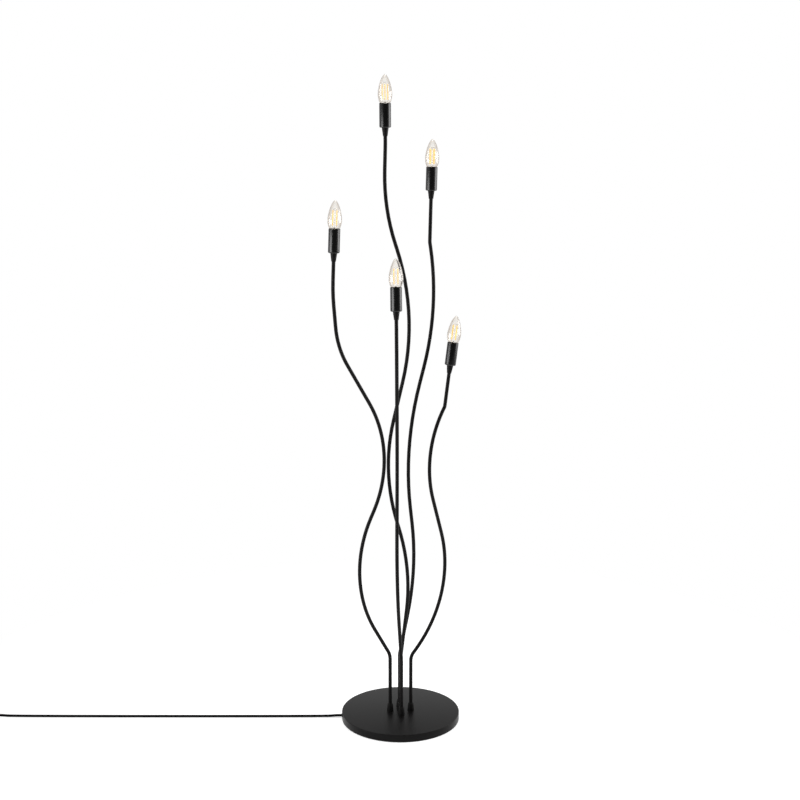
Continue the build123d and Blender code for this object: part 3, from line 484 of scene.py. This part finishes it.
# the sleeve is a cup with its floor down, and the cone hangs below it
holderSettings = {
    "radius": 14, "length": 57, "wall": 1.2, "floor": 1.5, "bore": 5.05, "steps": 56,
    "bottomEdge": 3.0, "rimEdge": 0.3, "floorEdge": 1.2, "edgeSteps": 6,
    "coneTop": 8.25, "coneBottom": 5.5, "coneHeight": 20, "coneBore": 4.55, "coneCounterbore": 8,
    "coneTopEdge": 0.3, "coneBottomEdge": 0.4, "coneSteps": 40,
}


def addHolders(s):
    inner = s["radius"] - s["wall"]
    sleeve = roundedProfile(
        [(s["bore"], 0), (s["radius"], 0), (s["radius"], s["length"]), (inner, s["length"]),
         (inner, s["floor"]), (s["bore"], s["floor"]), (s["bore"], 0)],
        {1: s["bottomEdge"], 2: s["rimEdge"], 3: s["rimEdge"], 4: s["floorEdge"]}, s["edgeSteps"])
    cone = roundedProfile(
        [(s["coneBore"], -s["coneHeight"]), (s["coneBottom"], -s["coneHeight"]), (s["coneTop"], 0),
         (s["bore"], 0), (s["bore"], -s["coneCounterbore"]), (s["coneBore"], -s["coneCounterbore"]),
         (s["coneBore"], -s["coneHeight"])],
        {1: s["coneBottomEdge"], 2: s["coneTopEdge"]})
    cones = bmesh.new()
    for name in stemNames:
        place = standing(stemSettings["seats"][name], seatAxis(name))
        bmesh.ops.transform(cones, matrix=place, verts=lathe(cones, cone, s["coneSteps"]))
        bm = bmesh.new()
        lathe(bm, sleeve, s["steps"])
        bm.transform(place)
        newPiece("holder_sleeve_" + name, bm, "lamp", "lacquer",
                 ["socket_sleeve_" + name], sharp=40)
    newPiece("holder_cones", cones, "lamp", "coat", ["socket_cones"], sharp=40)


addHolders(holderSettings)
print("lamp holders set")

# Heights are in mm above the cap's contact, which sits 25.5 above the holder's underside.
bulbSettings = {
    "seat": 25.5, "wall": 0.8, "steps": 40, "smoothing": 2,
    "outline": [(8.05, 20.8), (8.05, 26), (9.6, 28.4), (12.5, 31.6), (14.6, 35.6), (16.0, 40.5),
                (17.0, 45), (17.5, 49.6), (17.3, 55.5), (16.7, 61), (15.6, 67), (14.2, 73), (12.6, 79),
                (10.8, 84), (8.8, 88.4), (6.6, 92.6), (4.2, 96.1), (2.0, 98.1), (0, 98.6)],
    "turned": {"centre": 0, "rear": 60, "left": 45, "front": 45, "right": 35},
}
# the glowing rods stand on a circle, which each bulb turns by its own angle
rodSettings = {
    "count": 4, "circle": 6.6, "radius": 1.15, "low": 39, "high": 75, "sides": 12,
    "endEdge": 0.45, "edgeSteps": 2,
}
# Heights of a wire's bend and end past the rod it serves. inwards is how far out its inner end
# stays, as a share of the rods' circle, and bend is its bend radius in radii of the wire.
wireSettings = {
    "radius": 0.3, "inRod": 0.5, "inwards": 0.1, "footBend": 3, "footEnd": 6, "headBend": 2.2,
    "headEnd": 3.4, "middleBelow": 5, "middleAbove": 3.6, "bend": 2.2, "sides": 8, "degreesPerStep": 20,
}
# the glass post that carries the wires, and its hollow flare at the bottom
postSettings = {
    "radius": 1.5, "belowRods": 4, "topEdge": 0.6, "flareTop": 30, "flareBottom": 21.5, "flareRadius": 5.6,
    "flareEdge": 3, "flareWall": 0.7, "hollowTop": 29, "hollowWall": 0.8, "steps": 24,
}


def addGlass(name, s, place):
    bm = bmesh.new()
    lathe(bm, s["outline"], s["steps"])
    bm.transform(place)
    wall = ("SOLIDIFY", {"thickness": s["wall"] * mm, "offset": -1})
    smooth = ("SUBSURF", {"levels": s["smoothing"], "render_levels": s["smoothing"]})
    newPiece("glass_bulb_" + name, bm, "bulb_" + name, "glass", ["bulb_glass_" + name],
             sharp=180, modifiers=[wall, smooth])


def rodSpots(name, s):
    angles = [math.radians(bulbSettings["turned"][name] + 360 / s["count"] * i) for i in range(s["count"])]
    return [(s["circle"] * math.cos(a), s["circle"] * math.sin(a)) for a in angles]


def addRod(bm, spot, s):
    # one upright rod with softened ends
    middle = Vector((*spot, (s["low"] + s["high"]) / 2))
    made = bmesh.ops.create_cone(
        bm, cap_ends=True, segments=s["sides"], radius1=s["radius"] * mm, radius2=s["radius"] * mm,
        depth=(s["high"] - s["low"]) * mm, matrix=Matrix.Translation(middle * mm))["verts"]
    ends = [face for face in bm.faces
            if len(face.verts) == s["sides"] and all(vert in made for vert in face.verts)]
    bmesh.ops.bevel(bm, geom=[edge for face in ends for edge in face.edges],
                    offset=s["radius"] * s["endEdge"] * mm, segments=s["edgeSteps"], affect="EDGES",
                    profile=0.5, material=-1)


def addRods(name, s, place):
    bm = bmesh.new()
    for spot in rodSpots(name, s):
        addRod(bm, spot, s)
    bm.transform(place)
    newPiece("glowing_rods_" + name, bm, "bulb_" + name, "phosphor",
             ["bulb_filament_" + name], sharp=60)


def addWire(bm, points, s):
    # a thin wire through a few points, bent a little at each
    radii = [s["radius"] * s["bend"]] * (len(points) - 2)
    bentTube(bm, points, radii, s["radius"], s["sides"], s["degreesPerStep"])


def addWires(name, s, place):
    low, high = rodSettings["low"], rodSettings["high"]
    bm = bmesh.new()
    for x, y in rodSpots(name, rodSettings):
        # from the post out and up to the rod's foot, and from its head in to the middle wire
        inX, inY = x * s["inwards"], y * s["inwards"]
        foot = [(inX, inY, low - s["footEnd"]), (x, y, low - s["footBend"]), (x, y, low + s["inRod"])]
        head = [(x, y, high - s["inRod"]), (x, y, high + s["headBend"]), (inX, inY, high + s["headEnd"])]
        addWire(bm, foot, s)
        addWire(bm, head, s)
    addWire(bm, [(0, 0, low - s["middleBelow"]), (0, 0, high + s["middleAbove"])], s)
    bm.transform(place)
    newPiece("filament_wires_" + name, bm, "bulb_" + name, "wire", sharp=60)


def addPost(name, s, place):
    top = rodSettings["low"] - s["belowRods"]
    profile = roundedProfile(
        [(0, top), (s["radius"], top), (s["radius"], s["flareTop"]), (s["flareRadius"], s["flareBottom"]),
         (s["flareRadius"] - s["flareWall"], s["flareBottom"]),
         (s["radius"] - s["hollowWall"], s["hollowTop"]), (0, s["hollowTop"])],
        {1: s["topEdge"], 2: s["flareEdge"]})
    bm = bmesh.new()
    lathe(bm, profile, s["steps"])
    bm.transform(place)
    newPiece("glass_stem_" + name, bm, "bulb_" + name, "glass", sharp=180)


for name in stemNames:
    contact = Matrix.Translation((0, 0, bulbSettings["seat"] * mm))
    place = standing(stemSettings["seats"][name], seatAxis(name)) @ contact
    addGlass(name, bulbSettings, place)
    addRods(name, rodSettings, place)
    addWires(name, wireSettings, place)
    addPost(name, postSettings, place)
print("bulbs fitted")

# the coil under the foot switch's button, which is shortened by the button's travel
springSettings = {
    "radius": 5.6, "wireRadius": 0.4, "turns": 4, "stepsPerTurn": 20, "sides": 10, "travel": 3,
}


def addSpring(s):
    low, high = (Vector(corner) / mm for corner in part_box("switch_spring"))
    buttonLow, buttonHigh = (Vector(corner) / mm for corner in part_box("switch_button"))
    x = (buttonLow.x + buttonHigh.x) / 2
    height = high.z - low.z
    steps = s["turns"] * s["stepsPerTurn"]
    bm = bmesh.new()
    bmesh.ops.create_circle(bm, cap_ends=True, radius=s["wireRadius"] * mm, segments=s["sides"],
                            matrix=standing((x + s["radius"], 0, low.z + s["wireRadius"]), (0, 1, 0)))
    spun = bmesh.ops.spin(bm, geom=bm.edges[:] + bm.verts[:], cent=(x * mm, 0, 0), axis=(0, 0, 1),
                          dvec=(0, 0, (height - 2 * s["wireRadius"]) / steps * mm),
                          angle=2 * math.pi * s["turns"], steps=steps)
    lastLoop = [g for g in spun["geom_last"] if isinstance(g, bmesh.types.BMEdge)]
    bmesh.ops.contextual_create(bm, geom=lastLoop)
    spring = newPiece("button_spring", bm, "lamp", "spring", ["switch_spring"], sharp=60)
    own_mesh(spring)


addSpring(springSettings)
print("spring wound")

# The route is the one the tube follows in the part's source, in mm. It runs straight to the
# foot switch, through it, winds the spare length into a coil and ends in the plug.
cordSettings = {
    "diameter": 6.5,
    "toSwitch": [(-151, 0, 5.8), (-167, 0, 5.8), (-191, 0, 3.25), (-1001, 0, 3.25), (-1027, 0, 6.5)],
    "fromSwitch": [(-1139, 0, 6.5), (-1163, 0, 3.25), (-1198.5, 0, 3.25)],
    "coilX": -1205, "coilRadius": 43, "coilPitch": 7, "layerHeight": 7, "halfTurns": 4,
    "toPlug": [(-1185, 86, 10.25), (-1167, 86, 6.85), (-1153.5, 86, 6.85)],
    "length": 2146, "stepsPerSpan": 8, "bevelSteps": 4,
}


def cordRoute(s):
    points = list(s["toSwitch"]) + list(s["fromSwitch"])
    x, y, z = s["coilX"], 0, s["diameter"] / 2
    radius, heading = s["coilRadius"], 1
    steps = s["halfTurns"] * 2
    for half in range(2 * s["halfTurns"] + 1):
        rise = s["layerHeight"] if half == s["halfTurns"] else 0
        for step in range(steps):
            turn = math.pi * step / steps
            points.append((x - heading * radius * math.sin(turn),
                           y + heading * radius * (1 - math.cos(turn)),
                           z + rise * step / steps))
        y += heading * 2 * radius
        z += rise
        radius += -s["coilPitch"] / 2 if half < s["halfTurns"] else s["coilPitch"] / 2
        heading = -heading
    points.append((x, y, z))
    return points + list(s["toPlug"])


def addCord(s):
    data = bpy.data.curves.new("mains_cord", "CURVE")
    data.dimensions = "3D"
    spline = data.splines.new("NURBS")
    route = cordRoute(s)
    spline.points.add(len(route) - 1)
    for point, place in zip(spline.points, route):
        point.co = (*(v * mm for v in place), 1)
    spline.order_u = 3
    spline.use_endpoint_u = True
    spline.resolution_u = s["stepsPerSpan"]
    data.bevel_depth = s["diameter"] / 2 * mm
    data.bevel_resolution = s["bevelSteps"]
    data.use_fill_caps = True
    data.materials.append(materials["pvc"])
    cord = bpy.data.objects.new("mains_cord", data)
    bpy.context.scene.collection.objects.link(cord)
    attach(cord, "lamp")
    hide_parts("cord_run", "cord_tail", "cord_coil", "cord_end")


addCord(cordSettings)
print("cord laid")

# finishes of the pieces that keep their CAD shape
finishes = {
    "ballast_plate": "iron", "bottom_plate": "zinc", "base_pad": "foam", "bottom_screws": "zinc",
    "stem_washers": "zinc", "stem_nuts": "zinc", "stem_leads": "lead", "terminal_block": "polyamide",
    "terminal_screws": "zinc", "cord_bush": "rubber", "cord_clamp": "zinc", "clamp_screws": "zinc",
    "mains_tail": "pvc", "hollow_nipples": "zinc", "socket_inserts": "ceramic", "thread_shells": "brass",
    "contact_tongues": "brass", "switch_base": "abs", "switch_cover": "abs", "switch_button": "polished",
    "switch_block": "polyamide", "switch_screws": "zinc", "plug_body": "abs", "plug_pins": "nickel",
}
for name in stemNames:
    finishes["bulb_cap_" + name] = "nickel"
for node, finish in finishes.items():
    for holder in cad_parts[node].material_slots:
        holder.material = materials[finish]
print("finishes given:", len(finishes))

# White paper under the lamp, from the lit spot near it to plain white further out. Lengths in m.
stageSettings = {"floorSize": 2.6, "floorColour": "#dedede", "lift": 0.5, "fadeFrom": 0.3, "fadeTo": 1.3}


def whitePaper(s):
    # the camera, gloss and glass see the fade; every other ray meets plain matt paper
    material = bpy.data.materials.new("white_paper")
    material.use_nodes = True
    tree = material.node_tree
    tree.nodes.clear()
    place = addNode(tree, "ShaderNodeTexCoord")
    length = addNode(tree, "ShaderNodeVectorMath", [(0, place.outputs["Object"])], operation="LENGTH")
    fade = addNode(tree, "ShaderNodeMapRange", [("Value", length.outputs["Value"])])
    fade.inputs["From Min"].default_value = s["fadeFrom"]
    fade.inputs["From Max"].default_value = s["fadeTo"]
    rays = addNode(tree, "ShaderNodeLightPath")
    seen = addNode(tree, "ShaderNodeMath",
                   [(0, rays.outputs["Is Camera Ray"]), (1, rays.outputs["Is Glossy Ray"])],
                   operation="MAXIMUM")
    clear = addNode(tree, "ShaderNodeMath",
                    [(0, seen.outputs[0]), (1, rays.outputs["Is Transmission Ray"])],
                    operation="MAXIMUM")
    paper = addNode(tree, "ShaderNodeBsdfDiffuse", Color=srgb(s["floorColour"]))
    lift = addNode(tree, "ShaderNodeEmission", Color=(1, 1, 1, 1), Strength=s["lift"])
    white = addNode(tree, "ShaderNodeEmission", Color=(1, 1, 1, 1), Strength=1.0)
    lit = addNode(tree, "ShaderNodeAddShader", [(0, paper.outputs[0]), (1, lift.outputs[0])])
    near = addNode(tree, "ShaderNodeMixShader",
                   [("Fac", fade.outputs["Result"]), (1, lit.outputs[0]), (2, white.outputs[0])])
    far = addNode(tree, "ShaderNodeMixShader",
                  [("Fac", clear.outputs[0]), (1, paper.outputs[0]), (2, near.outputs[0])])
    addNode(tree, "ShaderNodeOutputMaterial", [("Surface", far.outputs[0])])
    return material


def addFloor(s):
    bm = bmesh.new()
    bmesh.ops.create_grid(bm, x_segments=2, y_segments=2, size=s["floorSize"])
    mesh = bpy.data.meshes.new("studio_floor")
    bm.to_mesh(mesh)
    bm.free()
    mesh.materials.append(whitePaper(s))
    floor = bpy.data.objects.new("studio_floor", mesh)
    bpy.context.scene.collection.objects.link(floor)


# How bright the room is for matt surfaces, and for glossy ones in front of the lamp and behind
# it, with the directions between which one passes into the other.
worldSettings = {"diffuse": 0.4, "front": 0.08, "back": 0.85, "frontAt": -0.75, "backAt": 0.3}


def addWorld(s):
    # a white backdrop behind the lamp and a dim room in front of it, as gloss shows them
    world = bpy.data.worlds.new("studio")
    bpy.context.scene.world = world
    world.use_nodes = True
    tree = world.node_tree
    tree.nodes.clear()
    rays = addNode(tree, "ShaderNodeLightPath")
    clear = addNode(tree, "ShaderNodeMath",
                    [(0, rays.outputs["Is Camera Ray"]), (1, rays.outputs["Is Transmission Ray"])],
                    operation="MAXIMUM")
    place = addNode(tree, "ShaderNodeTexCoord")
    axes = addNode(tree, "ShaderNodeSeparateXYZ", [("Vector", place.outputs["Generated"])])
    room = addNode(tree, "ShaderNodeMapRange", [("Value", axes.outputs["Y"])])
    room.inputs["From Min"].default_value = s["frontAt"]
    room.inputs["From Max"].default_value = s["backAt"]
    room.inputs["To Min"].default_value = s["front"]
    room.inputs["To Max"].default_value = s["back"]
    soft = addNode(tree, "ShaderNodeBackground", Color=(1, 1, 1, 1), Strength=s["diffuse"])
    gloss = addNode(tree, "ShaderNodeBackground", [("Strength", room.outputs["Result"])],
                    Color=(1, 1, 1, 1))
    white = addNode(tree, "ShaderNodeBackground", Color=(1, 1, 1, 1), Strength=1.0)
    lit = addNode(tree, "ShaderNodeMixShader",
                  [("Fac", rays.outputs["Is Glossy Ray"]), (1, soft.outputs[0]), (2, gloss.outputs[0])])
    mix = addNode(tree, "ShaderNodeMixShader",
                  [("Fac", clear.outputs[0]), (1, lit.outputs[0]), (2, white.outputs[0])])
    addNode(tree, "ShaderNodeOutputWorld", [("Surface", mix.outputs[0])])


# white softboxes: place and aim in m, width and height in m, power in W
lampSettings = {
    "left_softbox": {"place": (-2.0, -0.93, 0.9), "aim": (0, 0, 0.85), "size": (1.6, 0.9), "power": 33},
    "right_softbox": {"place": (2.2, 0.3, 1.25), "aim": (0, 0, 0.9), "size": (1.6, 1.3), "power": 38},
    "top_softbox": {"place": (0, 0.3, 3.4), "aim": (0, 0, 0), "size": (1.6, 1.6), "power": 45},
}


def addLamp(name, s):
    data = bpy.data.lights.new(name, "AREA")
    data.shape = "RECTANGLE"
    data.size, data.size_y = s["size"]
    data.energy = s["power"]
    lamp = bpy.data.objects.new(name, data)
    bpy.context.scene.collection.objects.link(lamp)
    lamp.location = s["place"]
    lamp.rotation_euler = (Vector(s["aim"]) - lamp.location).to_track_quat("-Z", "Y").to_euler()


addFloor(stageSettings)
addWorld(worldSettings)
for name, settings in lampSettings.items():
    addLamp(name, settings)
bpy.context.scene.view_settings.view_transform = "Standard"
print("studio lit")
